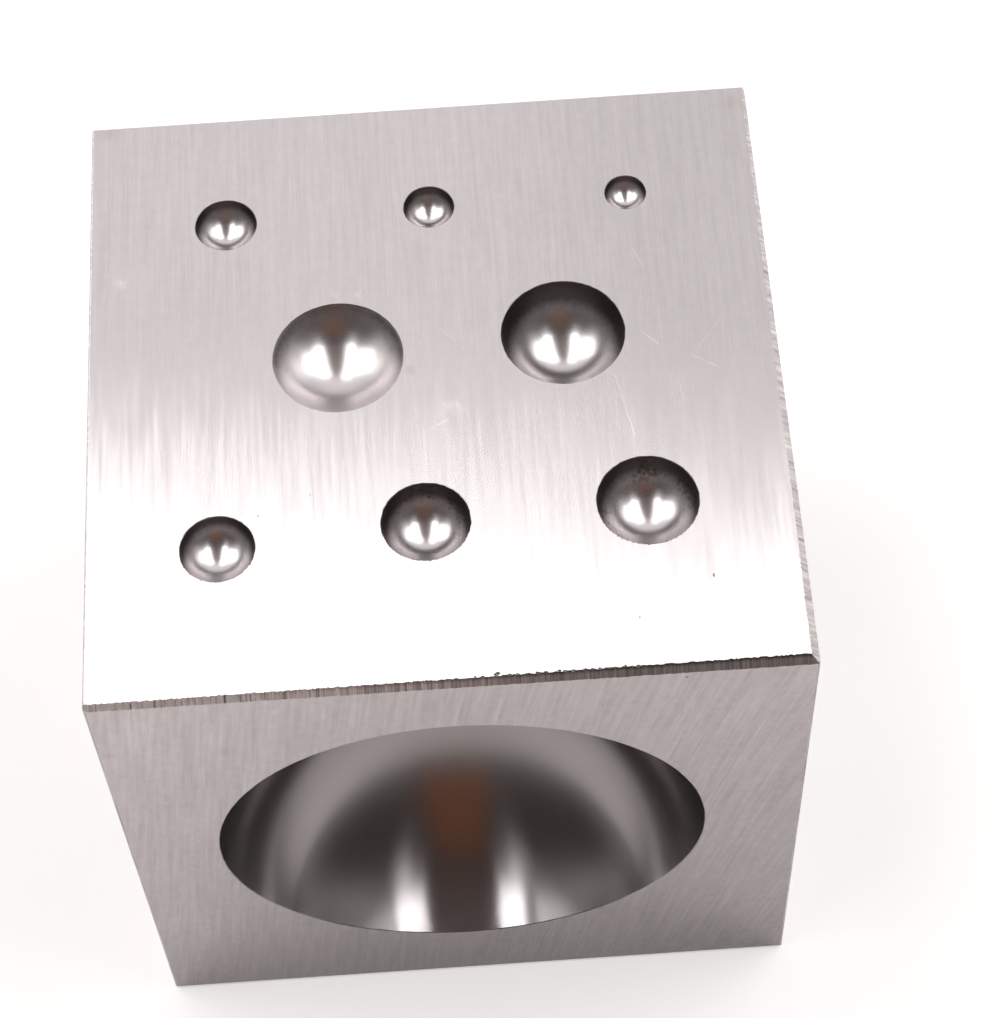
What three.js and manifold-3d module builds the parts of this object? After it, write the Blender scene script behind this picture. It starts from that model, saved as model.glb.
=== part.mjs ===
// Dapping block: one cube of ground steel with round cups sunk into all six of its faces.
// Millimetres, +Z up. The origin is at the middle of the bottom face. The face that holds the
// single great cup looks along -Y, and the face with the eight small cups is the top one.

import Module from 'manifold-3d';
import * as THREE from 'three';
import { ConvexGeometry } from 'three/addons/geometries/ConvexGeometry.js';
import { mergeVertices } from 'three/addons/utils/BufferGeometryUtils.js';

// Outside sizes of the block
const blockWidth = 50;
const blockDepth = 50;
const blockHeight = 50;

// Rim diameters of the top cups, back row first and left to right in each row
const topBackLeftRim = 4.6;
const topBackMiddleRim = 3.8;
const topBackRightRim = 3.1;
const topMiddleLeftRim = 9.5;
const topMiddleRightRim = 9;
const topFrontLeftRim = 5.3;
const topFrontMiddleRim = 6.3;
const topFrontRightRim = 7.2;

// Rim diameters of the single cups in the front and back faces
const frontRim = 36.2;
const backRim = 30;

// Rim diameters of the two cups in the left face
const leftUpperRim = 22.5;
const leftLowerRim = 20.5;

// Rim diameters of the four cups in the right face
const rightUpperFrontRim = 18.5;
const rightUpperBackRim = 17.5;
const rightLowerFrontRim = 15.5;
const rightLowerBackRim = 16.5;

// Rim diameters of the five cups in the bottom face
const bottomFrontLeftRim = 10.5;
const bottomFrontRightRim = 11.5;
const bottomMiddleRim = 14.5;
const bottomBackLeftRim = 12.5;
const bottomBackRightRim = 13.5;

// Legs of the broken edges. Two of the top ones were ground by hand and taper along the edge.
const frontTopLeftLeg = 0.38;
const frontTopRightLeg = 0.56;
const rightTopFrontLeg = 0.6;
const rightTopBackLeg = 0.25;
const leftTopLeg = 0.2;
const backTopLeg = 0.3;
const uprightLeg = 0.2;
const bottomLeg = 0.5;

// How far a flat facet may stand off the true round of a cup
const facetSag = 0.04;

// How far a cutter runs past the surface that it opens
const overrun = 1;

// Depths of the cups as shares of their rims' radii, in the order of the rims above. Most are a
// little shallower than half a ball, and each was sunk by eye.
const topDepthShares = [0.82, 0.86, 0.85, 0.62, 0.92, 0.79, 0.91, 0.86];
const frontDepthShares = [0.8];
const backDepthShares = [0.8];
const leftDepthShares = [0.8, 0.82];
const rightDepthShares = [0.82, 0.84, 0.82, 0.8];
const bottomDepthShares = [0.84, 0.82, 0.8, 0.86, 0.82];

// Cup centres as shares of each face's two sides, from the middle of the face. The first runs
// to the right of someone who looks at the face, and the second runs up it, or on the top face
// to the back and on the bottom face to the front. The rows were set out by hand, slightly askew.
const topPlaceShares = [
  [-0.297, 0.299],
  [0.007, 0.308],
  [0.302, 0.311],
  [-0.137, 0.047],
  [0.191, 0.065],
  [-0.315, -0.262],
  [-0.023, -0.24],
  [0.289, -0.229],
];
const frontPlaceShares = [[-0.005, 0.015]];
const backPlaceShares = [[0.004, 0.002]];
const leftPlaceShares = [
  [-0.19, 0.19],
  [0.2, -0.22],
];
const rightPlaceShares = [
  [-0.228, 0.226],
  [0.23, 0.232],
  [-0.234, -0.232],
  [0.228, -0.23],
];
const bottomPlaceShares = [
  [-0.28, 0.284],
  [0.284, 0.276],
  [0.002, -0.004],
  [-0.276, -0.28],
  [0.28, -0.272],
];

const wasm = await Module();
wasm.setup();

const blockSize = new THREE.Vector3(blockWidth, blockDepth, blockHeight);
const blockMiddle = new THREE.Vector3(0, 0, blockHeight / 2);

// Outward directions of the six faces
const toRight = new THREE.Vector3(1, 0, 0);
const toLeft = new THREE.Vector3(-1, 0, 0);
const toBack = new THREE.Vector3(0, 1, 0);
const toFront = new THREE.Vector3(0, -1, 0);
const toTop = new THREE.Vector3(0, 0, 1);
const toBottom = new THREE.Vector3(0, 0, -1);

// Each face: its outward direction, the direction across it, and its cups' rims, depths and places
const faces = [
  {
    outward: toTop,
    across: toRight,
    rims: [
      topBackLeftRim, topBackMiddleRim, topBackRightRim,
      topMiddleLeftRim, topMiddleRightRim,
      topFrontLeftRim, topFrontMiddleRim, topFrontRightRim,
    ],
    depthShares: topDepthShares,
    placeShares: topPlaceShares,
  },
  {
    outward: toFront,
    across: toRight,
    rims: [frontRim],
    depthShares: frontDepthShares,
    placeShares: frontPlaceShares,
  },
  {
    outward: toBack,
    across: toLeft,
    rims: [backRim],
    depthShares: backDepthShares,
    placeShares: backPlaceShares,
  },
  {
    outward: toLeft,
    across: toFront,
    rims: [leftUpperRim, leftLowerRim],
    depthShares: leftDepthShares,
    placeShares: leftPlaceShares,
  },
  {
    outward: toRight,
    across: toBack,
    rims: [rightUpperFrontRim, rightUpperBackRim, rightLowerFrontRim, rightLowerBackRim],
    depthShares: rightDepthShares,
    placeShares: rightPlaceShares,
  },
  {
    outward: toBottom,
    across: toRight,
    rims: [
      bottomFrontLeftRim, bottomFrontRightRim, bottomMiddleRim,
      bottomBackLeftRim, bottomBackRightRim,
    ],
    depthShares: bottomDepthShares,
    placeShares: bottomPlaceShares,
  },
];

// Each edge: the two faces that meet in it, and its leg at either end. It runs from its first
// end to its second along the cross product of the two outward directions.
const edges = [
  { faces: [toTop, toFront], legs: [frontTopLeftLeg, frontTopRightLeg] },
  { faces: [toRight, toTop], legs: [rightTopBackLeg, rightTopFrontLeg] },
  { faces: [toLeft, toTop], legs: [leftTopLeg, leftTopLeg] },
  { faces: [toBack, toTop], legs: [backTopLeg, backTopLeg] },
  { faces: [toFront, toBottom], legs: [bottomLeg, bottomLeg] },
  { faces: [toBottom, toRight], legs: [bottomLeg, bottomLeg] },
  { faces: [toLeft, toBottom], legs: [bottomLeg, bottomLeg] },
  { faces: [toBottom, toBack], legs: [bottomLeg, bottomLeg] },
  { faces: [toFront, toLeft], legs: [uprightLeg, uprightLeg] },
  { faces: [toRight, toFront], legs: [uprightLeg, uprightLeg] },
  { faces: [toLeft, toBack], legs: [uprightLeg, uprightLeg] },
  { faces: [toBack, toRight], legs: [uprightLeg, uprightLeg] },
];

// Length of the block along a direction that is parallel to one of its sides
function extentAlong(direction) {
  return Math.abs(direction.dot(blockSize));
}

// Closed geometry as a solid that can be cut
function solidOf(geometry) {
  geometry.deleteAttribute('normal');
  geometry.deleteAttribute('uv');
  const merged = mergeVertices(geometry);
  return new wasm.Manifold(new wasm.Mesh({
    numProp: 3,
    vertProperties: new Float32Array(merged.attributes.position.array),
    triVerts: new Uint32Array(merged.index.array),
  }));
}

// Solid back as geometry
function geometryOf(solid) {
  const { vertProperties, triVerts } = solid.getMesh();
  const geometry = new THREE.BufferGeometry();
  geometry.setAttribute('position', new THREE.BufferAttribute(vertProperties, 3));
  geometry.setIndex(new THREE.BufferAttribute(triVerts, 1));
  geometry.computeVertexNormals();
  return geometry;
}

// Ball-ended cutter for one cup: its axis is Y, its rim lies at y = 0 and its pole below that
function cupCutter(rim, depthShare) {
  const rimRadius = rim / 2;
  const depth = depthShare * rimRadius;
  const ballRadius = (rimRadius ** 2 + depth ** 2) / (2 * depth);
  const ballHeight = ballRadius - depth;
  const rimAngle = Math.acos(ballHeight / ballRadius);
  const facetAngle = 2 * Math.acos(1 - facetSag / rimRadius);
  const sides = Math.ceil((2 * Math.PI) / facetAngle);
  const rings = Math.ceil(rimAngle / facetAngle);
  const profile = [new THREE.Vector2(0, -depth)];
  for (let ring = 1; ring < rings; ring += 1) {
    const angle = (rimAngle * ring) / rings;
    const x = ballRadius * Math.sin(angle);
    const y = ballHeight - ballRadius * Math.cos(angle);
    profile.push(new THREE.Vector2(x, y));
  }
  profile.push(new THREE.Vector2(rimRadius, 0));
  profile.push(new THREE.Vector2(rimRadius, overrun));
  profile.push(new THREE.Vector2(0, overrun));
  return new THREE.LatheGeometry(profile, sides);
}

// Matrix that stands a cutter on a face, at a place given as shares of the face's two sides
function placeOnFace(face, [acrossShare, upShare]) {
  const up = new THREE.Vector3().crossVectors(face.outward, face.across);
  const position = blockMiddle.clone()
    .addScaledVector(face.outward, extentAlong(face.outward) / 2)
    .addScaledVector(face.across, acrossShare * extentAlong(face.across))
    .addScaledVector(up, upShare * extentAlong(up));
  const aside = new THREE.Vector3().crossVectors(face.across, face.outward);
  return new THREE.Matrix4()
    .makeBasis(face.across, face.outward, aside)
    .setPosition(position);
}

// Long wedge that breaks one edge, tapered from the leg at its first end to that at its second
function edgeCutter(edge) {
  const [first, second] = edge.faces;
  const along = new THREE.Vector3().crossVectors(first, second);
  const length = extentAlong(along);
  const middle = blockMiddle.clone()
    .addScaledVector(first, extentAlong(first) / 2)
    .addScaledVector(second, extentAlong(second) / 2);
  const [startLeg, endLeg] = edge.legs;
  const points = [];
  for (const side of [-1, 1]) {
    const reach = side * (length / 2 + overrun);
    const leg = (startLeg + endLeg) / 2 + ((endLeg - startLeg) * reach) / length;
    const corner = middle.clone().addScaledVector(along, reach);
    points.push(
      corner.clone().addScaledVector(first, overrun).addScaledVector(second, overrun),
      corner.clone().addScaledVector(first, overrun).addScaledVector(second, -leg - overrun),
      corner.clone().addScaledVector(first, -leg - overrun).addScaledVector(second, overrun),
    );
  }
  return new ConvexGeometry(points);
}

// The block, with every edge broken and every cup sunk
function makeBlock() {
  const box = new THREE.BoxGeometry(blockWidth, blockDepth, blockHeight);
  box.translate(blockMiddle.x, blockMiddle.y, blockMiddle.z);
  let solid = solidOf(box);
  for (const edge of edges) {
    solid = solid.subtract(solidOf(edgeCutter(edge)));
  }
  for (const face of faces) {
    face.rims.forEach((rim, index) => {
      const cutter = cupCutter(rim, face.depthShares[index]);
      cutter.applyMatrix4(placeOnFace(face, face.placeShares[index]));
      solid = solid.subtract(solidOf(cutter));
    });
  }
  return geometryOf(solid);
}

// Bare ground steel, lightly oiled
const steel = new THREE.MeshStandardMaterial({
  color: 0xc9c2c1,
  roughness: 0.34,
  metalness: 1,
});

const block = new THREE.Mesh(makeBlock(), steel);
block.name = 'dapping_block';

const dappingBlock = new THREE.Group();
dappingBlock.add(block);

export default dappingBlock;
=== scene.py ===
# Dapping block: the looks of one cube of ground steel with graded round cups, built on its CAD frame.
# The block keeps the frame's box, cups and broken edges, and gets its grain, file marks, nicks,
# stains and polished cups here. Metres, +Z up, the great cup looks along -Y.

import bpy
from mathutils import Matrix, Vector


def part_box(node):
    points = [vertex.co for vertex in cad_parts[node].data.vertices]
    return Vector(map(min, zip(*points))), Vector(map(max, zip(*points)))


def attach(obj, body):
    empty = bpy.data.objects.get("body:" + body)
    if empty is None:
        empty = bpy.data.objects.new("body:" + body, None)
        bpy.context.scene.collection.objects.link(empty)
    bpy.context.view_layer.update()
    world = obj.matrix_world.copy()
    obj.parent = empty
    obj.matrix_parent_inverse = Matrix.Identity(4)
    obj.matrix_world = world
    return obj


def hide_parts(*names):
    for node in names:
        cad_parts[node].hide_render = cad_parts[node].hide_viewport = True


bl_info = {
    "name": "Dapping Block",
    "version": (1, 0, 0),
    "blender": (4, 5, 0),
    "location": "View3D > Sidebar > Dapping Block",
    "description": "Builds a ground steel dapping block and a pale studio round it",
    "category": "Object",
}

import math
import random
from collections import namedtuple

import bpy
from bpy.props import FloatProperty, FloatVectorProperty, PointerProperty
from mathutils import Matrix, Quaternion, Vector

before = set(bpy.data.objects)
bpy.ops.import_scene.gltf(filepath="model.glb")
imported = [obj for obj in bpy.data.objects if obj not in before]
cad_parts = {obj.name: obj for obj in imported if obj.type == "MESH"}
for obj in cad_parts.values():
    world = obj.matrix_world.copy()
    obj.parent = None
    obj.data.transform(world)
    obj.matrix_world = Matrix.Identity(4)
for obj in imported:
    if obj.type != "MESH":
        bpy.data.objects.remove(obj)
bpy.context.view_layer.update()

MM = 0.001
NODE = "dapping_block"

# How near a point may lie to a plane that cuts it, and how near two points lie that become one
PLANE_TOUCH, SAME_POINT = 0.0001 * MM, 0.001 * MM

# Faces that meet at less than this angle are shaded as one, in degrees
SMOOTH_BELOW = 20

# Outward directions of the faces, and the direction across each
TO_RIGHT, TO_LEFT = Vector((1, 0, 0)), Vector((-1, 0, 0))
TO_BACK, TO_FRONT = Vector((0, 1, 0)), Vector((0, -1, 0))
TO_TOP, TO_BOTTOM = Vector((0, 0, 1)), Vector((0, 0, -1))
ACROSS = {
    "top": (TO_TOP, TO_RIGHT),
    "front": (TO_FRONT, TO_RIGHT),
    "back": (TO_BACK, TO_LEFT),
    "left": (TO_LEFT, TO_FRONT),
    "right": (TO_RIGHT, TO_BACK),
    "bottom": (TO_BOTTOM, TO_RIGHT),
}

# Each cup: its face, rim diameter in millimetres, depth as a share of the rim's radius, place as
# shares of the face's two sides, how ragged its rim is in millimetres, and its finish
Cup = namedtuple("Cup", "face rim depth_share across_share up_share ragged finish")
CUPS = [
    Cup("top", 4.6, 0.82, -0.297, 0.299, 0.01, "level_cup"),
    Cup("top", 3.8, 0.86, 0.007, 0.308, 0.01, "level_cup"),
    Cup("top", 3.1, 0.85, 0.302, 0.311, 0.01, "level_cup"),
    Cup("top", 9.5, 0.62, -0.137, 0.047, 0.012, "level_cup"),
    Cup("top", 9.0, 0.92, 0.191, 0.065, 0.02, "level_cup"),
    Cup("top", 5.3, 0.79, -0.315, -0.262, 0.02, "level_cup"),
    Cup("top", 6.3, 0.91, -0.023, -0.24, 0.025, "speckled_cup"),
    Cup("top", 7.2, 0.86, 0.289, -0.229, 0.025, "speckled_cup"),
    Cup("front", 36.2, 0.8, -0.005, 0.015, 0.02, "great_cup"),
    Cup("back", 30.0, 0.8, 0.004, 0.002, 0.02, "great_cup"),
    Cup("left", 22.5, 0.8, -0.19, 0.19, 0.02, "side_cup"),
    Cup("left", 20.5, 0.82, 0.2, -0.22, 0.02, "side_cup"),
    Cup("right", 18.5, 0.82, -0.228, 0.226, 0.02, "side_cup"),
    Cup("right", 17.5, 0.84, 0.23, 0.232, 0.02, "side_cup"),
    Cup("right", 15.5, 0.82, -0.234, -0.232, 0.02, "side_cup"),
    Cup("right", 16.5, 0.8, 0.228, -0.23, 0.02, "side_cup"),
    Cup("bottom", 10.5, 0.84, -0.28, 0.284, 0.02, "level_cup"),
    Cup("bottom", 11.5, 0.82, 0.284, 0.276, 0.02, "level_cup"),
    Cup("bottom", 14.5, 0.8, 0.002, -0.004, 0.02, "level_cup"),
    Cup("bottom", 12.5, 0.86, -0.276, -0.28, 0.02, "level_cup"),
    Cup("bottom", 13.5, 0.82, 0.28, -0.272, 0.02, "level_cup"),
]

# How far each cup's cutter flares out past its rim, and rises past its face, in millimetres
RIM_FLARE = 0.3

# Edges that were only broken: the two faces that meet in each, and the round's radius in millimetres
BROKEN_EDGES = [
    (TO_LEFT, TO_TOP, 0.2),
    (TO_BACK, TO_TOP, 0.3),
    (TO_FRONT, TO_BOTTOM, 0.5),
    (TO_BOTTOM, TO_RIGHT, 0.5),
    (TO_LEFT, TO_BOTTOM, 0.5),
    (TO_BOTTOM, TO_BACK, 0.5),
    (TO_FRONT, TO_LEFT, 0.2),
    (TO_RIGHT, TO_FRONT, 0.2),
    (TO_LEFT, TO_BACK, 0.2),
    (TO_BACK, TO_RIGHT, 0.2),
]

# Each round is three narrow flats, turned by these degrees from the first face to the second
ROUND_TURNS = (22.5, 45.0, 67.5)

# Edges that were filed to a flat: the two faces, the legs at either end in millimetres, the seed of
# the file marks, and the finish. The edge runs along the first face's direction crossed with the
# second's.
FiledEdge = namedtuple("FiledEdge", "first second start_leg end_leg seed finish")
FILED_EDGES = [
    FiledEdge(TO_TOP, TO_FRONT, 0.38, 0.56, 3, "filed_front"),
    FiledEdge(TO_RIGHT, TO_TOP, 0.25, 0.6, 5, "filed_side"),
]

# The cutter of a filed edge: rows of faces down its slope, how far the slope runs past the legs as
# a share of its width, and how far the cutter runs past the block in millimetres
SLOPE_ROWS, SLOPE_OVERRUN, OVERRUN = 4, 0.6, 1.0

# Nicks and pits: middle and half sizes in millimetres from the middle of the bottom face, the turn
# about X in degrees, and the seed of the lump's shape
Nick = namedtuple("Nick", "middle half turn seed")
NICKS = [
    Nick((3.1, -24.4, 49.95), (0.26, 0.17, 0.1), 0, 11),
    Nick((5.2, -24.46, 49.93), (0.16, 0.1, 0.08), 0, 12),
    Nick((7.3, -24.44, 49.95), (0.2, 0.1, 0.08), 0, 13),
    Nick((11.8, -24.42, 49.96), (0.1, 0.1, 0.07), 0, 14),
    Nick((-21.7, -24.86, 49.78), (0.07, 0.3, 0.05), 45, 15),
    Nick((-18.25, -24.84, 49.8), (0.05, 0.28, 0.04), 45, 16),
    Nick((-13.3, -24.82, 49.8), (0.06, 0.3, 0.05), 45, 17),
    Nick((18.43, -17.86, 50.0), (0.07, 0.16, 0.05), 0, 18),
    Nick((13.08, -20.76, 50.0), (0.05, 0.07, 0.04), 0, 19),
    Nick((-9.18, -9.2, 50.0), (0.05, 0.05, 0.03), 0, 20),
    Nick((-12.86, -10.64, 50.0), (0.05, 0.06, 0.03), 0, 21),
    Nick((-2.24, -20.9, 50.0), (0.04, 0.06, 0.03), 0, 22),
    Nick((15.92, -25.0, 48.85), (0.16, 0.03, 0.06), 0, 23),
    Nick((10.22, -25.0, 45.41), (0.06, 0.03, 0.05), 0, 24),
    Nick((12.22, -25.0, 45.72), (0.05, 0.03, 0.05), 0, 25),
    Nick((24.72, -22.7, 49.86), (0.1, 0.09, 0.08), 0, 26),
    Nick((24.8, -24.3, 49.75), (0.09, 0.08, 0.1), 0, 27),
]

# How unevenly the points of a lump stand, as a share of its radius
LUMPINESS = 0.25

# Torn rims: the number of a cup in CUPS, and how many small teeth are torn out of its near side,
# as far as this angle in degrees to either hand of the nearest point
TORN_RIMS = [(5, 8), (6, 18), (7, 22)]
TORN_ARC = 68.0

# Half a tooth's size in millimetres, how that varies, and where the tooth lies in its share of the arc
TOOTH, TOOTH_VARIES, TOOTH_PLACE = 0.085, (0.6, 1.3), (0.3, 0.7)

# The upper line of the filed front edge is chipped, at this place back and up, between these places
# across the block and about this far apart, in millimetres, but for what its first few nicks take
CHIP_BACK, CHIP_UP = -24.5, 49.96
CHIPPED_FROM, CHIPPED_TO = 1.6, 13.2
CHIP_STEP, CHIP_STEP_VARIES = 0.62, (0.7, 1.3)
LINE_NICKS, NICK_CLEARANCE = NICKS[:4], 0.35

# Half the length, width and depth of a chip in millimetres
HALF_LENGTH, HALF_WIDTH, HALF_DEPTH = (0.08, 0.2), (0.05, 0.11), 0.08

# Seeds of the chances above, and of the first chip's shape
CHANCE_SEED, CHIP_SEED = 8, 100

# Marks on the top face, across and back from its middle, and on the front face, across it and up
# from its foot, in millimetres: scratches by their ends and width, and scuffs and brown stains by
# their middle and radius
TOP_SCRATCHES = [
    ((13.0, -0.8), (14.0, -6.1), 0.06),
    ((15.2, 10.4), (15.8, 8.6), 0.05),
    ((15.2, 2.9), (16.4, 1.6), 0.06),
    ((18.6, 0.6), (20.6, -0.8), 0.05),
    ((20.9, 3.4), (19.2, 1.2), 0.04),
    ((-22.9, 10.6), (-22.3, 9.8), 0.07),
    ((0.6, 4.4), (2.4, 2.2), 0.04),
    ((-1.2, -4.8), (2.1, -2.9), 0.04),
    ((8.4, -3.2), (10.9, -4.4), 0.04),
]
TOP_SCUFFS = [((-22.65, 10.2), 0.7), ((-7.04, 8.0), 0.5), ((-5.21, 7.76), 0.45), ((1.2, -2.6), 0.9)]
TOP_STAINS = [((-1.62, 0.81), 0.7), ((-23.6, 24.6), 1.5), ((23.9, 23.4), 1.2)]
FRONT_SCRATCHES = [
    ((-21.6, 49.4), (-21.8, 46.2), 0.05),
    ((-18.2, 49.4), (-18.1, 47.0), 0.05),
    ((-16.9, 49.4), (-16.8, 45.9), 0.04),
    ((-13.2, 49.4), (-13.4, 46.6), 0.05),
    ((-9.8, 49.4), (-9.6, 47.4), 0.04),
    ((17.2, 48.8), (16.4, 45.6), 0.04),
]
FRONT_SCUFFS = [((-21.4, 34.9), 0.6), ((15.9, 48.85), 0.5), ((-12.2, 47.9), 0.5)]
FRONT_STAINS = [((-16.2, 42.3), 0.9), ((-24.2, 42.9), 0.8), ((15.8, 17.5), 0.8)]

# Colour of steel that a scratch has laid bare, and of torn steel
BARE_STEEL, TORN_STEEL = (0.86, 0.83, 0.83, 1.0), (0.4, 0.36, 0.35, 1.0)

# Stage sizes in metres: the floor's side and its gap to the block, and the radius of the surround
FLOOR_SIDE, FLOOR_GAP, SURROUND_RADIUS = 6.0, 0.02 * MM, 2.5

# Colours of the surround, where 1 is white: behind the block low down and high up, at both sides of
# that, overhead, in front and there at the horizon, and the warm middle of the front
LOW_LIGHT, HIGH_LIGHT, SIDE_LIGHT = (0.72, 0.7, 0.7, 1), (1.1, 1.08, 1.08, 1), (1.6, 1.57, 1.57, 1)
OVERHEAD, DARK, DARK_HORIZON = (0.135, 0.105, 0.1, 1), (0.07, 0.06, 0.055, 1), (0.22, 0.21, 0.2, 1)
WARM = (0.21, 0.088, 0.045, 1)

# Camera: place in millimetres, and tilt down, heading and roll in degrees
CAMERA_PLACE = (3.05, -114.79, 220.12)
CAMERA_TILT, CAMERA_HEADING, CAMERA_ROLL = 58.71, -0.59, -3.36

# Lamps: place and size as shares of their height above the block, turn about Z in degrees, and
# brightness
LAMPS = [
    ("left_tube", (-0.312, 0.097), (0.25, 1.056), -12.5, 4.2),
    ("left_panel", (-0.985, 0.275), (0.93, 0.89), -17, 2.0),
    ("right_tube", (0.47, 0.084), (0.34, 0.984), 15, 4.2),
    ("right_panel", (0.95, 0.255), (0.65, 0.82), 18, 1.8),
]


class BlockShape(bpy.types.PropertyGroup):
    """Small shapes that the block has beyond its frame."""

    rim_break: FloatProperty(
        name="Rim break",
        description="Width of the small bevel round each cup's rim",
        default=0.05 * MM,
        unit="LENGTH",
        precision=6,
    )
    cup_sag: FloatProperty(
        name="Cup sag",
        description="How far a facet of a cup's wall may stand off the true round",
        default=0.0025 * MM,
        unit="LENGTH",
        precision=6,
    )
    file_step: FloatProperty(
        name="File step",
        description="Spacing of the file marks along a filed edge",
        default=0.14 * MM,
        unit="LENGTH",
        precision=6,
    )
    file_bite: FloatProperty(
        name="File bite",
        description="Depth of the file marks on a filed edge",
        default=0.035 * MM,
        unit="LENGTH",
        precision=6,
    )


class SteelFinish(bpy.types.PropertyGroup):
    """Colours and finish of the bare steel."""

    steel: FloatVectorProperty(
        name="Steel",
        description="Colour of the clean ground steel",
        subtype="COLOR",
        default=(0.595, 0.554, 0.555),
        min=0,
        max=1,
    )
    stain: FloatVectorProperty(
        name="Stain",
        description="Colour of the faint brown stains",
        subtype="COLOR",
        default=(0.34, 0.25, 0.18),
        min=0,
        max=1,
    )
    dirt: FloatVectorProperty(
        name="Dirt",
        description="Colour of the specks left in the cups",
        subtype="COLOR",
        default=(0.1, 0.08, 0.07),
        min=0,
        max=1,
    )
    # The scale colour is painted shade, laid near black on the steep walls of the cups.
    scale: FloatVectorProperty(
        name="Scale",
        description="Colour of the dark scale on the steep walls of the cups",
        subtype="COLOR",
        default=(0.045, 0.038, 0.036),
        min=0,
        max=1,
    )
    flat_roughness: FloatProperty(
        name="Flat roughness",
        description="Roughness of the ground flats",
        default=0.26,
        min=0,
        max=1,
        subtype="FACTOR",
    )
    cup_roughness: FloatProperty(
        name="Cup roughness",
        description="Roughness of the polished cups",
        default=0.23,
        min=0,
        max=1,
        subtype="FACTOR",
    )
    grain_width: FloatProperty(
        name="Grain width",
        description="Width of one grinding line",
        default=0.09 * MM,
        unit="LENGTH",
        precision=6,
    )
    grain_length: FloatProperty(
        name="Grain length",
        description="Length of one grinding line",
        default=7 * MM,
        unit="LENGTH",
        precision=5,
    )


class StudioStage(bpy.types.PropertyGroup):
    """Floor, lamps and camera round the block."""

    floor: FloatVectorProperty(
        name="Floor",
        description="Colour of the plain floor",
        subtype="COLOR",
        default=(0.9, 0.85, 0.84),
        min=0,
        max=1,
    )
    lamp_strength: FloatProperty(
        name="Lamp strength",
        description="Brightness of the soft lamps, where 1 is white",
        default=1.0,
        min=0,
    )
    lamp_height: FloatProperty(
        name="Lamp height",
        description="Height of the soft lamps above the block",
        default=0.55,
        unit="LENGTH",
    )
    lens: FloatProperty(
        name="Lens",
        description="Focal length of the camera on a 36 mm frame",
        default=100.7,
        subtype="DISTANCE_CAMERA",
    )


# Modelling helpers


def begin_object_mode():
    """Leaves edit mode and deselects everything."""
    if bpy.context.mode != "OBJECT":
        bpy.ops.object.mode_set(mode="OBJECT")
    bpy.ops.object.select_all(action="DESELECT")


def edit(piece):
    """Opens one piece in edit mode with nothing selected."""
    begin_object_mode()
    piece.select_set(True)
    bpy.context.view_layer.objects.active = piece
    bpy.ops.object.mode_set(mode="EDIT")
    bpy.ops.mesh.select_all(action="DESELECT")


def take_primitive(name):
    """Names the primitive that was just added."""
    piece = bpy.context.view_layer.objects.active
    piece.name = name
    piece.data.name = name
    return piece


def settle(piece, matrix=None):
    """Puts a piece's place into its mesh, so that its object sits at the origin."""
    begin_object_mode()
    if matrix is not None:
        piece.matrix_world = matrix
    piece.select_set(True)
    bpy.context.view_layer.objects.active = piece
    bpy.ops.object.transform_apply(location=True, rotation=True, scale=True)


def join(pieces, name):
    """Joins pieces into one object."""
    begin_object_mode()
    for piece in pieces:
        piece.select_set(True)
    bpy.context.view_layer.objects.active = pieces[0]
    if len(pieces) > 1:
        bpy.ops.object.join()
    pieces[0].name = name
    return pieces[0]


def cut(piece, cutter):
    """Cuts one object with another and deletes the cutter."""
    begin_object_mode()
    piece.select_set(True)
    bpy.context.view_layer.objects.active = piece
    modifier = piece.modifiers.new("cut", "BOOLEAN")
    modifier.operation = "DIFFERENCE"
    modifier.solver = "EXACT"
    modifier.material_mode = "TRANSFER"
    modifier.object = cutter
    bpy.ops.object.modifier_apply(modifier=modifier.name)
    bpy.data.objects.remove(cutter)


def block_box():
    """Size and middle of the CAD block."""
    low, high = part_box(NODE)
    return high - low, (low + high) / 2


def extent_along(direction):
    """Length of the block along a direction parallel to one of its sides."""
    size, _ = block_box()
    return abs(direction.dot(size))


def corner_between(first, second):
    """Middle of the edge where two faces meet."""
    _, middle = block_box()
    return middle + first * (extent_along(first) / 2) + second * (extent_along(second) / 2)


# The block's shape


def add_blank():
    """The cube that everything is cut from."""
    size, middle = block_box()
    bpy.ops.mesh.primitive_cube_add(size=1, location=middle, scale=size)
    blank = take_primitive("steel_block")
    settle(blank)
    return blank


def break_edge(blank, first, second, radius):
    """Rounds one edge with a few narrow flats."""
    corner = corner_between(first, second)
    centre = corner - (first + second) * radius
    for turn in ROUND_TURNS:
        angle = math.radians(turn)
        outward = first * math.cos(angle) + second * math.sin(angle)
        edit(blank)
        bpy.ops.mesh.select_all(action="SELECT")
        bpy.ops.mesh.bisect(
            plane_co=centre + outward * radius,
            plane_no=outward,
            use_fill=True,
            clear_outer=True,
            threshold=PLANE_TOUCH,
        )
    begin_object_mode()


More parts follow.
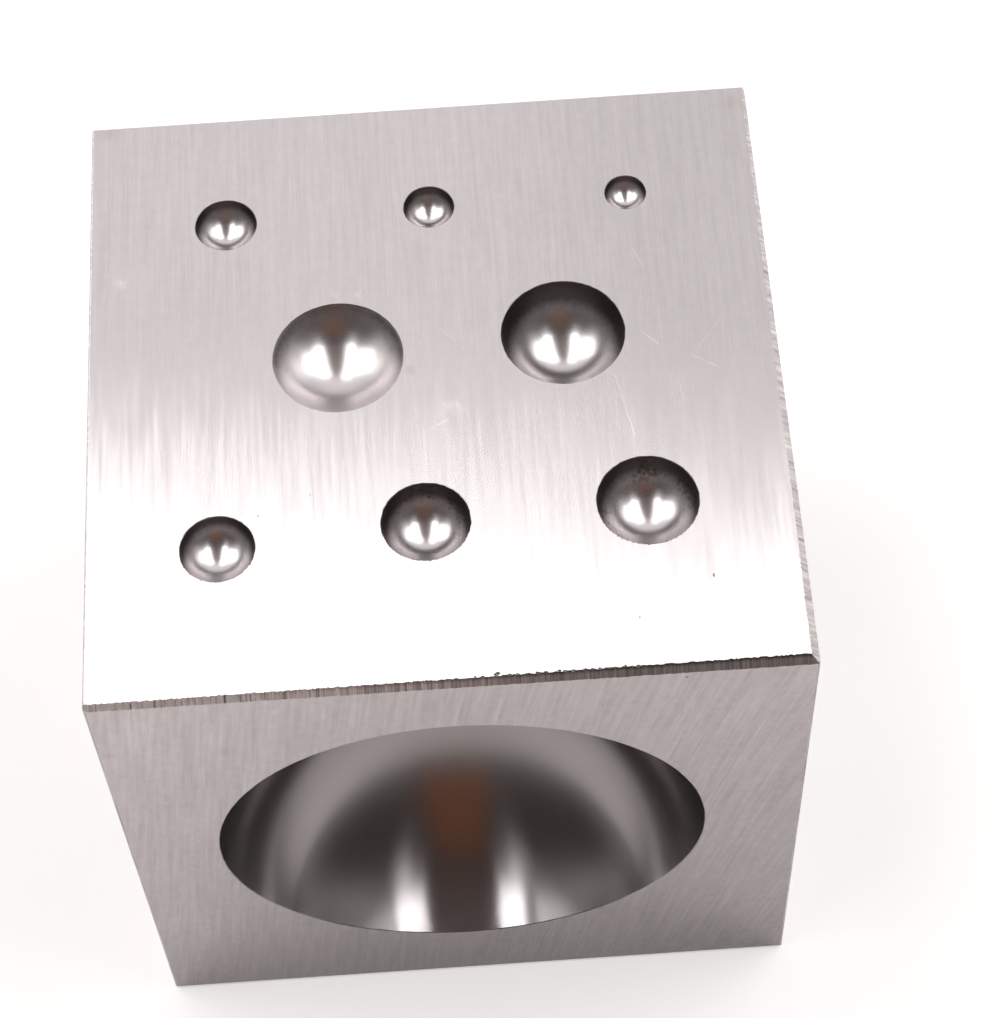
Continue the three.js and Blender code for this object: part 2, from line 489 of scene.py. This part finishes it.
def filed_edge_cutter(edge, shape, material):
    """Long wedge whose slanting side carries file marks, and whose legs taper along the edge."""
    along = edge.first.cross(edge.second)
    length = extent_along(along)
    corner = corner_between(edge.first, edge.second)
    overrun = OVERRUN * MM
    steps = round(length / shape.file_step)
    bpy.ops.mesh.primitive_grid_add(x_subdivisions=steps, y_subdivisions=SLOPE_ROWS, size=1)
    wedge = take_primitive("filed_edge_cutter")
    # The grid's X runs along the edge and its Y runs down the slope
    for vertex in wedge.data.vertices:
        share, slope = vertex.co.x + 0.5, vertex.co.y + 0.5
        leg = (edge.start_leg * (1 - share) + edge.end_leg * share) * MM
        upper, lower = corner - edge.second * leg, corner - edge.first * leg
        past = (upper - lower) * SLOPE_OVERRUN
        stretched = (share - 0.5) * (length + 2 * overrun)
        vertex.co = (upper + past).lerp(lower - past, slope) + along * stretched
    edit(wedge)
    bpy.ops.mesh.select_all(action="SELECT")
    bpy.ops.transform.vertex_random(offset=shape.file_bite, uniform=0.2, normal=1.0, seed=edge.seed)
    bpy.ops.mesh.extrude_region_move(
        TRANSFORM_OT_translate={"value": (edge.first + edge.second) * overrun}
    )
    bpy.ops.mesh.select_all(action="SELECT")
    bpy.ops.mesh.normals_make_consistent(inside=False)
    begin_object_mode()
    wedge.data.materials.append(material)
    return wedge


def cup_cutter(cup, seed, shape, material):
    """Ball-ended cutter for one cup, with a small flare that breaks the rim."""
    rim_radius = cup.rim / 2 * MM
    depth = cup.depth_share * rim_radius
    ball_radius = (rim_radius**2 + depth**2) / (2 * depth)
    ball_height = ball_radius - depth
    wall_angle = math.acos((ball_height + shape.rim_break) / ball_radius)
    facet_angle = 2 * math.acos(1 - shape.cup_sag / rim_radius)

    # One point at the bottom of the cup, spun up the wall and then round the cup
    bpy.ops.mesh.primitive_plane_add(size=shape.rim_break, location=(0, 0, -depth))
    cutter = take_primitive("cup_cutter")
    settle(cutter)
    edit(cutter)
    bpy.ops.mesh.select_all(action="SELECT")
    bpy.ops.mesh.merge(type="CENTER")
    bpy.ops.mesh.spin(
        steps=math.ceil(wall_angle / facet_angle),
        angle=wall_angle,
        center=(0, 0, ball_height),
        axis=(0, 1, 0),
    )
    bpy.ops.mesh.select_all(action="SELECT")
    bpy.ops.mesh.spin(
        steps=math.ceil(2 * math.pi / facet_angle),
        angle=2 * math.pi,
        center=(0, 0, 0),
        axis=(0, 0, 1),
    )
    bpy.ops.mesh.select_all(action="SELECT")
    bpy.ops.mesh.remove_doubles(threshold=SAME_POINT)

    # The open edge at the rim is roughened, flared past the face and closed with a flat lid
    bpy.ops.mesh.select_all(action="DESELECT")
    bpy.ops.mesh.select_non_manifold()
    bpy.ops.transform.vertex_random(offset=cup.ragged * MM, uniform=0.5, normal=0.0, seed=seed)
    flare = RIM_FLARE * MM
    growth = (rim_radius + flare) / rim_radius
    bpy.ops.mesh.extrude_region_move(TRANSFORM_OT_translate={"value": (0, 0, flare)})
    bpy.ops.transform.resize(value=(growth, growth, 0), center_override=(0, 0, flare))
    bpy.ops.mesh.edge_face_add()
    bpy.ops.mesh.select_all(action="SELECT")
    bpy.ops.mesh.normals_make_consistent(inside=False)
    begin_object_mode()
    cutter.data.materials.append(material)

    outward, across = ACROSS[cup.face]
    up = outward.cross(across)
    _, middle = block_box()
    place = (
        middle
        + outward * (extent_along(outward) / 2)
        + across * (cup.across_share * extent_along(across))
        + up * (cup.up_share * extent_along(up))
    )
    turn = Matrix((across, up, outward)).transposed().to_4x4()
    settle(cutter, Matrix.Translation(place) @ turn)
    return cutter


def small_chips():
    """Nicks along the torn rims and along the upper line of the filed front edge."""
    chance = random.Random(CHANCE_SEED)
    size, _ = block_box()
    chips = []
    for number, teeth in TORN_RIMS:
        cup = CUPS[number]
        for tooth in range(teeth):
            share = (tooth + chance.uniform(*TOOTH_PLACE)) / teeth
            turn = math.radians(TORN_ARC * (2 * share - 1))
            radius = cup.rim / 2
            place = (
                cup.across_share * size.x / MM + radius * math.sin(turn),
                cup.up_share * size.y / MM - radius * math.cos(turn),
                size.z / MM,
            )
            half = [TOOTH * chance.uniform(*TOOTH_VARIES) for _ in range(3)]
            chips.append(Nick(place, half, 0, CHIP_SEED + len(chips)))
    across = CHIPPED_FROM
    while across < CHIPPED_TO:
        if all(abs(across - nick.middle[0]) > NICK_CLEARANCE for nick in LINE_NICKS):
            half = (chance.uniform(*HALF_LENGTH), chance.uniform(*HALF_WIDTH), HALF_DEPTH)
            chips.append(Nick((across, CHIP_BACK, CHIP_UP), half, 0, CHIP_SEED + len(chips)))
        across += CHIP_STEP * chance.uniform(*CHIP_STEP_VARIES)
    return chips


def nick_cutter(nick, material):
    """Small lump that leaves one nick or pit."""
    bpy.ops.mesh.primitive_ico_sphere_add(subdivisions=2, radius=1)
    lump = take_primitive("nick_cutter")
    edit(lump)
    bpy.ops.mesh.select_all(action="SELECT")
    bpy.ops.transform.vertex_random(offset=LUMPINESS, uniform=0.0, normal=0.5, seed=nick.seed)
    begin_object_mode()
    lump.data.materials.append(material)
    matrix = (
        Matrix.Translation(Vector(nick.middle) * MM)
        @ Matrix.Rotation(math.radians(nick.turn), 4, "X")
        @ Matrix.Diagonal(Vector(nick.half) * MM).to_4x4()
    )
    settle(lump, matrix)
    return lump


def lay_finishes(blank, finishes):
    """Gives the flats and the broken edges of the blank their finishes by the way they face."""
    for name in ("ground_upright", "ground_level", "filed_side"):
        blank.data.materials.append(finishes[name])
    upright, level, slanting = range(3)
    straight = 0.999
    for face in blank.data.polygons:
        if abs(face.normal.z) > straight:
            face.material_index = level
        elif max(abs(face.normal.x), abs(face.normal.y)) > straight:
            face.material_index = upright
        else:
            face.material_index = slanting


def straighten_tangents(mesh):
    """Puts the mesh's texture space far off to the left, so that a finish that spreads light spreads
    it along Y, and on faces that look along Y across them."""
    far = 10.0
    mesh.use_auto_texspace = False
    mesh.texspace_location = (-far, 0, 0)
    mesh.texspace_size = (1, 1, 1)


# Shader helpers


class Wire:
    """A shader socket that can be used in a sum."""

    def __init__(self, graph, socket):
        self.graph = graph
        self.socket = socket

    def __add__(self, other):
        return self.graph.maths("ADD", self, other)

    def __sub__(self, other):
        return self.graph.maths("SUBTRACT", self, other)

    def __rsub__(self, other):
        return self.graph.maths("SUBTRACT", other, self)

    def __mul__(self, other):
        return self.graph.maths("MULTIPLY", self, other)

    def __truediv__(self, other):
        return self.graph.maths("DIVIDE", self, other)

    __radd__ = __add__
    __rmul__ = __mul__


# Sockets of the Mix node for colours
MIX_FACTOR, MIX_FIRST, MIX_SECOND, MIX_RESULT = 0, 6, 7, 2


class Graph:
    """The nodes of one material or world."""

    def __init__(self, tree):
        self.tree = tree
        tree.nodes.clear()

    def node(self, kind, settings, inputs, output=0):
        """Makes one node, with its settings first, then its sockets' values or links."""
        made = self.tree.nodes.new(kind)
        for name, value in settings.items():
            setattr(made, name, value)
        for name, value in inputs.items():
            socket = made.inputs[name]
            if isinstance(value, Wire):
                self.tree.links.new(value.socket, socket)
            else:
                socket.default_value = value
        return Wire(self, made.outputs[output]) if made.outputs else None

    def maths(self, operation, *values):
        """One Math node."""
        return self.node("ShaderNodeMath", {"operation": operation}, dict(enumerate(values)))

    def clamp(self, value):
        """A number kept between 0 and 1."""
        return self.node("ShaderNodeClamp", {}, {"Value": value})

    def ease(self, value, low, high):
        """0 below low, 1 above high, and smooth in between."""
        return self.node(
            "ShaderNodeMapRange",
            {"interpolation_type": "SMOOTHSTEP"},
            {"Value": value, "From Min": low, "From Max": high},
        )

    def mix_colour(self, factor, first, second):
        """The first colour where the factor is 0, and the second where it is 1."""
        return self.node(
            "ShaderNodeMix",
            {"data_type": "RGBA"},
            {MIX_FACTOR: factor, MIX_FIRST: first, MIX_SECOND: second},
            output=MIX_RESULT,
        )

    def tint(self, colour, amount):
        """A colour made lighter or darker by a number."""
        grey = self.node("ShaderNodeCombineXYZ", {}, {0: amount, 1: amount, 2: amount})
        return self.node(
            "ShaderNodeMix",
            {"data_type": "RGBA", "blend_type": "MULTIPLY"},
            {MIX_FACTOR: 1.0, MIX_FIRST: colour, MIX_SECOND: grey},
            output=MIX_RESULT,
        )

    def place(self):
        """The object coordinates, as one vector and as three numbers."""
        coordinates = self.node("ShaderNodeTexCoord", {}, {}, output="Object")
        parts = [
            self.node("ShaderNodeSeparateXYZ", {}, {"Vector": coordinates}, output=name)
            for name in "XYZ"
        ]
        return coordinates, parts

    def noise(self, vector, scale, detail=2.0, roughness=0.5):
        """Clouds from 0 to 1 about a middle of 0.5."""
        return self.node(
            "ShaderNodeTexNoise",
            {},
            {"Vector": vector, "Scale": scale, "Detail": detail, "Roughness": roughness},
        )

    def streaks(self, across, along, width, length, seed, detail=1.0):
        """Long thin noise: lines of one width and length."""
        vector = self.node(
            "ShaderNodeCombineXYZ", {}, {0: across / width, 1: along / length, 2: seed}
        )
        return self.noise(vector, 1.0, detail)

    def bump(self, height, distance):
        """The surface's normal, bent by a height that is worth a distance where it is 1."""
        inputs = {"Height": height, "Distance": distance, "Strength": 1.0}
        return self.node("ShaderNodeBump", {}, inputs)

    def lean(self, direction, amount):
        """The surface's normal, leant in a direction by an amount."""
        normal = self.node("ShaderNodeNewGeometry", {}, {}, output="Normal")
        push = self.node(
            "ShaderNodeVectorMath", {"operation": "SCALE"}, {0: direction, "Scale": amount}
        )
        both = self.node("ShaderNodeVectorMath", {"operation": "ADD"}, {0: normal, 1: push})
        return self.node("ShaderNodeVectorMath", {"operation": "NORMALIZE"}, {0: both})

    def rays(self):
        """1 for what the camera sees, for what is mirrored, and for what is seen through glass."""
        return [
            self.node("ShaderNodeLightPath", {}, {}, output=f"Is {ray} Ray")
            for ray in ("Camera", "Glossy", "Transmission")
        ]

    def facing(self, axis):
        """How squarely the surface faces along an axis, from -1 to 1."""
        normal = self.node("ShaderNodeNewGeometry", {}, {}, output="Normal")
        return self.node("ShaderNodeSeparateXYZ", {}, {"Vector": normal}, output=axis)

    def spot(self, first, second, centre, radius):
        """1 at a point of a face, falling to 0 at a radius."""
        one = first - centre[0] * MM
        two = second - centre[1] * MM
        distance = self.maths("SQRT", one * one + two * two)
        return 1 - self.ease(distance, 0.0, radius * MM)

    def scratch(self, first, second, start, end, width):
        """1 along a straight scratch between two points of a face."""
        start, end = Vector(start) * MM, Vector(end) * MM
        run = end - start
        one, two = first - start.x, second - start.y
        share = self.clamp((one * run.x + two * run.y) / run.length_squared)
        off_one, off_two = one - share * run.x, two - share * run.y
        distance = self.maths("SQRT", off_one * off_one + off_two * off_two)
        return 1 - self.ease(distance, 0.0, width * MM)

    def steel(self, **inputs):
        """Ends the graph in a metal surface."""
        named = {name.replace("_", " "): value for name, value in inputs.items()}
        surface = self.node("ShaderNodeBsdfPrincipled", {}, {"Metallic": 1.0, **named})
        self.node("ShaderNodeOutputMaterial", {}, {"Surface": surface})


def new_material(name):
    """An empty material, and the graph that fills it."""
    material = bpy.data.materials.new(name)
    material.use_nodes = True
    return material, Graph(material.node_tree)


def solid(colour):
    """A colour with full alpha."""
    return (*colour, 1.0)


# The block's finishes


def laid_marks(graph, colour, is_level, places, mottle, finish):
    """Scratches, scuffs and stains on the top face and on the front one."""
    x, y, z = places
    size, _ = block_box()
    if is_level:
        first, second, on_face = x, y, graph.ease(z, 0.5 * size.z, 0.6 * size.z)
        scratches, scuffs, stains = TOP_SCRATCHES, TOP_SCUFFS, TOP_STAINS
    else:
        first, second, on_face = x, z, graph.ease(0 - y, 0.49 * size.y, 0.498 * size.y)
        scratches, scuffs, stains = FRONT_SCRATCHES, FRONT_SCUFFS, FRONT_STAINS
    rough_edge = 1.5 * mottle - 0.25
    light = 0.0
    for start, end, width in scratches:
        light = graph.maths("MAXIMUM", light, graph.scratch(first, second, start, end, width))
    for centre, radius in scuffs:
        scuff = graph.spot(first, second, centre, radius) * rough_edge
        light = graph.maths("MAXIMUM", light, 1.4 * scuff)
    stain = 0.0
    for centre, radius in stains:
        stain = graph.maths("MAXIMUM", stain, graph.spot(first, second, centre, radius))
    light = graph.clamp(light * on_face * (2.4 * mottle - 0.6))
    colour = graph.mix_colour(0.45 * light, colour, BARE_STEEL)
    amount = 0.4 * graph.clamp(stain * on_face * rough_edge)
    return graph.mix_colour(amount, colour, solid(finish.stain))


def ground_flat(name, finish, is_level):
    """Ground steel whose grain runs to the back on the level faces, and on the others upright and
    a little askew. A thin film of oil and oxide keeps it from being quite bare metal."""
    material, graph = new_material(name)
    coordinates, (x, y, z) = graph.place()
    size, _ = block_box()
    if is_level:
        across, along, grain_way = x, y, (0.0, 1.0, 0.0)
    else:
        slant = 0.13 + 0.15 * graph.ease(x, -0.25 * size.x, 0.5 * size.x)
        across, along, grain_way = x + y + slant * (size.z - z), z, (0.0, 0.0, 1.0)

    width, length = finish.grain_width, finish.grain_length
    fine = graph.streaks(across, along, width, length, 0.0, 2.0)
    coarse = graph.streaks(across, along, 4 * width, length, 7.3, 2.0)
    bands = graph.streaks(across, along, 24 * width, 6 * length, 3.1)
    blotches = graph.noise(coordinates, 1 / (9 * MM), 3.0)
    mottle = graph.noise(coordinates, 1 / (0.7 * MM), 4.0, 0.6)

    grain = 0.14 * (fine - 0.5) + 0.2 * (coarse - 0.5) + 0.04 * (bands - 0.5)
    grain = grain + 0.05 * (blotches - 0.5) + 0.14 * (mottle - 0.5)
    # The top is made darker towards the right.
    if is_level:
        tone = (1.0 + grain) * (0.98 - 0.1 * graph.ease(x, 0.0, 0.4 * size.x))
    else:
        # Painted shade darkens the upright faces towards the foot, and painted light makes their left
        # half lighter than the right.
        foot, upper = graph.ease(z, 0.0, 0.3 * size.z), graph.ease(z, 0.2 * size.z, size.z)
        height = 0.68 + 0.2 * foot + 0.12 * upper
        tone = (1.0 + 2.0 * grain) * height * (1.14 - 0.14 * graph.ease(x, -0.5 * size.x, 0.0))
    colour = graph.tint(solid(finish.steel), tone)
    colour = laid_marks(graph, colour, is_level, (x, y, z), mottle, finish)
    roughness = finish.flat_roughness + 0.06 * (fine - 0.5) + 0.06 * (blotches - 0.5)
    lean = 0.045 * (coarse - 0.5) + 0.02 * (fine - 0.5) + 0.01 * (mottle - 0.5)
    graph.steel(
        Base_Color=colour,
        Roughness=roughness,
        Normal=graph.lean(grain_way, lean),
        Metallic=0.93,
        Anisotropic=1.0,
        Anisotropic_Rotation=0.25 if is_level else 0.0,
    )
    return material


def filed_edge(name, finish, is_front):
    """Steel with file marks that run across the edge. On the front edge, painted light makes it
    brightest at its left end and painted shade darkens it to the right; its file marks stand out most
    at the left end, and its upper line is darker, most of all at the right."""
    material, graph = new_material(name)
    _, (x, y, z) = graph.place()
    size, _ = block_box()
    along = x if is_front else y
    marks = graph.streaks(along, z, 0.07 * MM, 3 * MM, 1.7, 2.0)
    gouges = graph.streaks(along, z, 0.3 * MM, 6 * MM, 5.2)
    plain = 1.02
    tone = plain + 1.5 * (marks - 0.5) + 0.7 * (gouges - 0.5)
    roughness = 0.42 + 0.1 * marks
    if is_front:
        # Painted light brightens the front edge at its left end, and painted shade darkens it to the
        # right.
        to_right = graph.ease(x, -0.5 * size.x, 0.28 * size.x)
        # The upper line of the front edge is darkened, most of all at the right.
        dark_upper_line = 1 - graph.ease(size.z - z, 0.02 * MM, 0.2 * MM + 0.1 * MM * gouges)
        tone = plain + (1.9 - 0.9 * to_right) * (tone - plain)
        tone = tone * (2.05 - 1.4 * to_right) * (1 - (0.05 + 0.7 * to_right) * dark_upper_line)
    colour = graph.tint(solid(finish.steel), tone)
    normal = graph.bump(marks + gouges, 0.02 * MM)
    graph.steel(Base_Color=colour, Roughness=roughness, Normal=normal)
    return material


def polished_cup(name, finish, axis, speckle):
    """Polished wall of a cup that opens along an axis: painted shade, near black, where it is steep,
    less of it and a duller polish on the near side, and as many dark specks as speckle says."""
    material, graph = new_material(name)
    coordinates, _ = graph.place()
    cloud = graph.noise(coordinates, 1 / (2.2 * MM), 3.0)
    mottle = graph.noise(coordinates, 1 / (0.4 * MM), 5.0, 0.65)
    squareness = graph.maths("ABSOLUTE", graph.facing(axis))
    steep = 1 - graph.ease(squareness, 0.5, 0.9)
    # Painted shade: the scale mask lays a near-black colour on the steep walls, with less of it on the
    # near side.
    less_shade_near_side = 0.35 * graph.maths("MAXIMUM", graph.facing("Y"), 0.0)
    scale = 1 - graph.ease(squareness + less_shade_near_side + 0.12 * (mottle - 0.5), 0.38, 0.76)
    crumbs = graph.noise(coordinates, 1 / (0.3 * MM), 3.0)
    specks = speckle * steep * graph.ease(crumbs + 1.2 * (cloud - 0.5), 0.52, 0.8)
    tone = 0.93 + 0.1 * cloud
    colour = graph.mix_colour(specks, graph.tint(solid(finish.steel), tone), solid(finish.dirt))
    colour = graph.mix_colour(0.94 * scale, colour, solid(finish.scale))
    worn = graph.ease(graph.facing("Y"), 0.2, 0.6)
    roughness = finish.cup_roughness + 0.06 * (cloud - 0.5) + 0.2 * specks + 0.16 * steep + 0.2 * worn
    graph.steel(Base_Color=colour, Roughness=roughness)
    return material


def turned_cup(name, finish):
    """Wall of a great cup, whose turning marks spread light from its middle to its rim."""
    material, graph = new_material(name)
    coordinates, _ = graph.place()
    cloud = graph.noise(coordinates, 1 / (5 * MM), 3.0)
    # The steel is darkened to 0.6 of its colour, painted shade for the dim floor that the cup mirrors.
    tone = 0.6 + 0.1 * cloud
    colour = graph.tint(solid(finish.steel), tone)
    graph.steel(
        Base_Color=colour,
        Roughness=0.2 + 0.03 * (cloud - 0.5),
        Anisotropic=0.9,
    )
    return material


def fresh_nick(name):
    """Torn metal inside a nick."""
    material, graph = new_material(name)
    coordinates, _ = graph.place()
    crumbs = graph.noise(coordinates, 1 / (0.05 * MM))
    colour = graph.tint(TORN_STEEL, 2.0 * crumbs - 0.4)
    graph.steel(Base_Color=colour, Roughness=0.35 + 0.2 * crumbs)
    return material


def make_finishes(finish):
    """All the finishes by name."""
    return {
        "ground_upright": ground_flat("ground_upright", finish, False),
        "ground_level": ground_flat("ground_level", finish, True),
        "filed_front": filed_edge("filed_front", finish, True),
        "filed_side": filed_edge("filed_side", finish, False),
        "level_cup": polished_cup("level_cup", finish, "Z", 0.0),
        "speckled_cup": polished_cup("speckled_cup", finish, "Z", 0.7),
        "side_cup": polished_cup("side_cup", finish, "X", 0.0),
        "great_cup": turned_cup("great_cup", finish),
        "fresh_nick": fresh_nick("fresh_nick"),
    }


class MESH_OT_dapping_block(bpy.types.Operator):
    """Builds the steel block with its cups, broken and filed edges, nicks and finishes"""

    bl_idname = "mesh.dapping_block"
    bl_label = "Steel block"

    def execute(self, context):
        shape = context.scene.dapping_shape
        finish = context.scene.dapping_finish
        finishes = make_finishes(finish)

        block = add_blank()
        for first, second, radius in BROKEN_EDGES:
            break_edge(block, first, second, radius * MM)
        lay_finishes(block, finishes)

        for edge in FILED_EDGES:
            cut(block, filed_edge_cutter(edge, shape, finishes[edge.finish]))
        cutters = [
            cup_cutter(cup, seed, shape, finishes[cup.finish]) for seed, cup in enumerate(CUPS)
        ]
        cut(block, join(cutters, "cups"))
        nicks = [nick_cutter(nick, finishes["fresh_nick"]) for nick in NICKS + small_chips()]
        cut(block, join(nicks, "nicks"))

        begin_object_mode()
        block.select_set(True)
        context.view_layer.objects.active = block
        bpy.ops.object.shade_smooth_by_angle(angle=math.radians(SMOOTH_BELOW))
        straighten_tangents(block.data)

        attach(block, "root")
        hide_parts(NODE)
        return {"FINISHED"}


# The stage


def direction(azimuth, elevation):
    """Unit vector: azimuth 0 looks to the front, and 90 to the right."""
    turn, rise = math.radians(azimuth), math.radians(elevation)
    return Vector(
        (math.sin(turn) * math.cos(rise), -math.cos(turn) * math.cos(rise), math.sin(rise))
    )


def add_floor(stage):
    """Plain pale floor, which the camera sees a little lighter than the steel does."""
    bpy.ops.mesh.primitive_plane_add(size=FLOOR_SIDE, location=(0, 0, -FLOOR_GAP))
    floor = take_primitive("floor")
    settle(floor)
    material, graph = new_material("floor_paper")
    paper = graph.node("ShaderNodeBsdfDiffuse", {}, {"Color": solid(stage.floor)})
    camera, glossy, transmission = graph.rays()
    strength = 0.45 * camera + 0.1 * graph.maths("MAXIMUM", glossy, transmission)
    # Far from the lamps the floor glows more, so that it stays pale up to the horizon
    coordinates, _ = graph.place()
    length = {"operation": "LENGTH"}
    distance = graph.node("ShaderNodeVectorMath", length, {0: coordinates}, output="Value")
    far = graph.ease(distance, 0.25, 1.1)
    colour = graph.mix_colour(far, (1, 1, 1, 1), (2, 2, 2, 1))
    glow = graph.node("ShaderNodeEmission", {}, {"Color": colour, "Strength": strength})
    surface = graph.node("ShaderNodeAddShader", {}, {0: paper, 1: glow})
    graph.node("ShaderNodeOutputMaterial", {}, {"Surface": surface})
    floor.data.materials.append(material)


def add_lamp(name, stage, place_shares, size_shares, turn, brightness):
    """Soft level lamp above the block. Its place, width and length are shares of its height."""
    _, middle = block_box()
    height = stage.lamp_height
    across, back = place_shares
    offset = Vector((across * height, back * height, height))
    bpy.ops.object.light_add(
        type="AREA", location=middle + offset, rotation=(0, 0, math.radians(turn))
    )
    lamp = bpy.context.view_layer.objects.active
    lamp.name = name
    lamp.data.shape = "RECTANGLE"
    lamp.data.size, lamp.data.size_y = (share * height for share in size_shares)
    area = lamp.data.size * lamp.data.size_y
    lamp.data.energy = stage.lamp_strength * brightness * math.pi * area
    lamp.visible_camera = False


def add_surround():
    """Dome of studio surroundings that only the steel mirrors: pale behind and paler at both sides
    of that, dark overhead, and dark with a warm middle in front."""
    bpy.ops.mesh.primitive_uv_sphere_add(segments=64, ring_count=32, radius=SURROUND_RADIUS)
    dome = take_primitive("surround")
    settle(dome)
    dome.visible_camera = False
    dome.visible_diffuse = False
    dome.visible_shadow = False
    dome.visible_transmission = False
    dome.visible_volume_scatter = False
    material, graph = new_material("surround")
    coordinates, _ = graph.place()
    unit = graph.node("ShaderNodeVectorMath", {"operation": "NORMALIZE"}, {0: coordinates})
    x, y, z = [
        graph.node("ShaderNodeSeparateXYZ", {}, {"Vector": unit}, output=name) for name in "XYZ"
    ]
    azimuth = graph.maths("ARCTAN2", x, 0 - y)
    front = 1 - graph.ease(graph.maths("ABSOLUTE", azimuth), 1.1, 1.8)
    raised = graph.ease(z, 0.3, 0.7)
    overhead = graph.ease(z, 0.79, 0.95)
    horizon = 1 - graph.ease(z, 0.0, 0.2)
    warm = 1 - graph.ease(graph.maths("ABSOLUTE", azimuth - 0.05), 0.12, 0.42)
    warm = warm * graph.ease(z, -0.08, 0.26) * (1 - graph.ease(z, 0.64, 0.86))
    colour = graph.mix_colour(raised, LOW_LIGHT, HIGH_LIGHT)
    beside = graph.ease(graph.maths("ABSOLUTE", x), 0.5, 0.8) * graph.ease(y, 0.05, 0.35)
    colour = graph.mix_colour(beside, colour, SIDE_LIGHT)
    colour = graph.mix_colour(front, colour, graph.mix_colour(horizon, DARK, DARK_HORIZON))
    colour = graph.mix_colour(overhead, colour, OVERHEAD)
    colour = graph.mix_colour(warm, colour, WARM)
    # In front of each lamp its light fades out on either hand of the dark middle. Places here are
    # shares of the height above the block, as the lamps' are.
    height = graph.maths("MAXIMUM", z, 0.1)
    aside, ahead = x / height, y / height
    past_left = 0.28 * ahead - 0.2 - aside
    past_right = aside + 0.3 * ahead - 0.345
    past = graph.maths("MAXIMUM", past_left, past_right)
    near = (1 - graph.ease(past, 0.14, 0.45)) * graph.ease(ahead, -1.15, -0.4)
    far = 0.35 * graph.ease(ahead, -0.9, -0.1)
    fade = graph.maths("MAXIMUM", near, far) * graph.ease(past, 0.0, 0.12)
    fade = fade * (1 - graph.ease(ahead, -0.2, 0.2))
    colour = graph.mix_colour(fade, colour, HIGH_LIGHT)
    glow = graph.node("ShaderNodeEmission", {}, {"Color": colour, "Strength": 1.0})
    graph.node("ShaderNodeOutputMaterial", {}, {"Surface": glow})
    dome.data.materials.append(material)


def light_world():
    """White where the camera or the steel sees it, and a soft fill elsewhere."""
    world = bpy.data.worlds.new("studio")
    bpy.context.scene.world = world
    world.use_nodes = True
    graph = Graph(world.node_tree)
    camera, glossy, transmission = graph.rays()
    seen = graph.maths("MAXIMUM", camera, graph.maths("MAXIMUM", glossy, transmission))
    strength = 0.12 + 0.88 * seen
    sky = graph.node(
        "ShaderNodeBackground", {}, {"Color": (1.0, 1.0, 1.0, 1.0), "Strength": strength}
    )
    graph.node("ShaderNodeOutputWorld", {}, {"Surface": sky})


def add_camera(stage):
    """Camera at the photograph's viewing angle."""
    toward = -direction(0.0, CAMERA_TILT)
    heading = Quaternion((0, 0, 1), math.radians(CAMERA_HEADING))
    bpy.ops.object.camera_add(location=[place * MM for place in CAMERA_PLACE])
    camera = bpy.context.view_layer.objects.active
    camera.name = "camera"
    camera.rotation_mode = "QUATERNION"
    level = (heading @ toward).to_track_quat("-Z", "Y")
    camera.rotation_quaternion = level @ Quaternion((0, 0, 1), math.radians(CAMERA_ROLL))
    camera.data.lens = stage.lens
    camera.data.sensor_width = 36
    camera.data.clip_start = 0.01
    bpy.context.scene.camera = camera


class SCENE_OT_dapping_stage(bpy.types.Operator):
    """Sets a pale floor, soft lamps, the surroundings that the steel mirrors, and the camera"""

    bl_idname = "scene.dapping_stage"
    bl_label = "Studio stage"

    def execute(self, context):
        stage = context.scene.dapping_stage
        begin_object_mode()
        add_floor(stage)
        add_surround()
        light_world()
        for name, place_shares, size_shares, turn, brightness in LAMPS:
            add_lamp(name, stage, place_shares, size_shares, turn, brightness)
        add_camera(stage)
        context.scene.view_settings.view_transform = "Standard"
        return {"FINISHED"}


class VIEW3D_PT_dapping_block(bpy.types.Panel):
    """Lists the block's settings and what builds it."""

    bl_label = "Dapping Block"
    bl_space_type = "VIEW_3D"
    bl_region_type = "UI"
    bl_category = "Dapping Block"

    def draw(self, context):
        layout = self.layout
        scene = context.scene
        for settings in (scene.dapping_shape, scene.dapping_finish, scene.dapping_stage):
            box = layout.box()
            for name in settings.__annotations__:
                box.prop(settings, name)
        for operator in (MESH_OT_dapping_block, SCENE_OT_dapping_stage):
            layout.operator(operator.bl_idname)


CLASSES = (
    BlockShape,
    SteelFinish,
    StudioStage,
    MESH_OT_dapping_block,
    SCENE_OT_dapping_stage,
    VIEW3D_PT_dapping_block,
)


def register():
    """Adds the classes, and their settings to the scene."""
    for cls in CLASSES:
        bpy.utils.register_class(cls)
    bpy.types.Scene.dapping_shape = PointerProperty(type=BlockShape)
    bpy.types.Scene.dapping_finish = PointerProperty(type=SteelFinish)
    bpy.types.Scene.dapping_stage = PointerProperty(type=StudioStage)


def unregister():
    """Takes the settings and the classes away again."""
    del bpy.types.Scene.dapping_stage
    del bpy.types.Scene.dapping_finish
    del bpy.types.Scene.dapping_shape
    for cls in reversed(CLASSES):
        bpy.utils.unregister_class(cls)


def main():
    """Builds the block and its stage."""
    register()
    bpy.ops.mesh.dapping_block()
    bpy.ops.scene.dapping_stage()


if __name__ == "__main__":
    main()
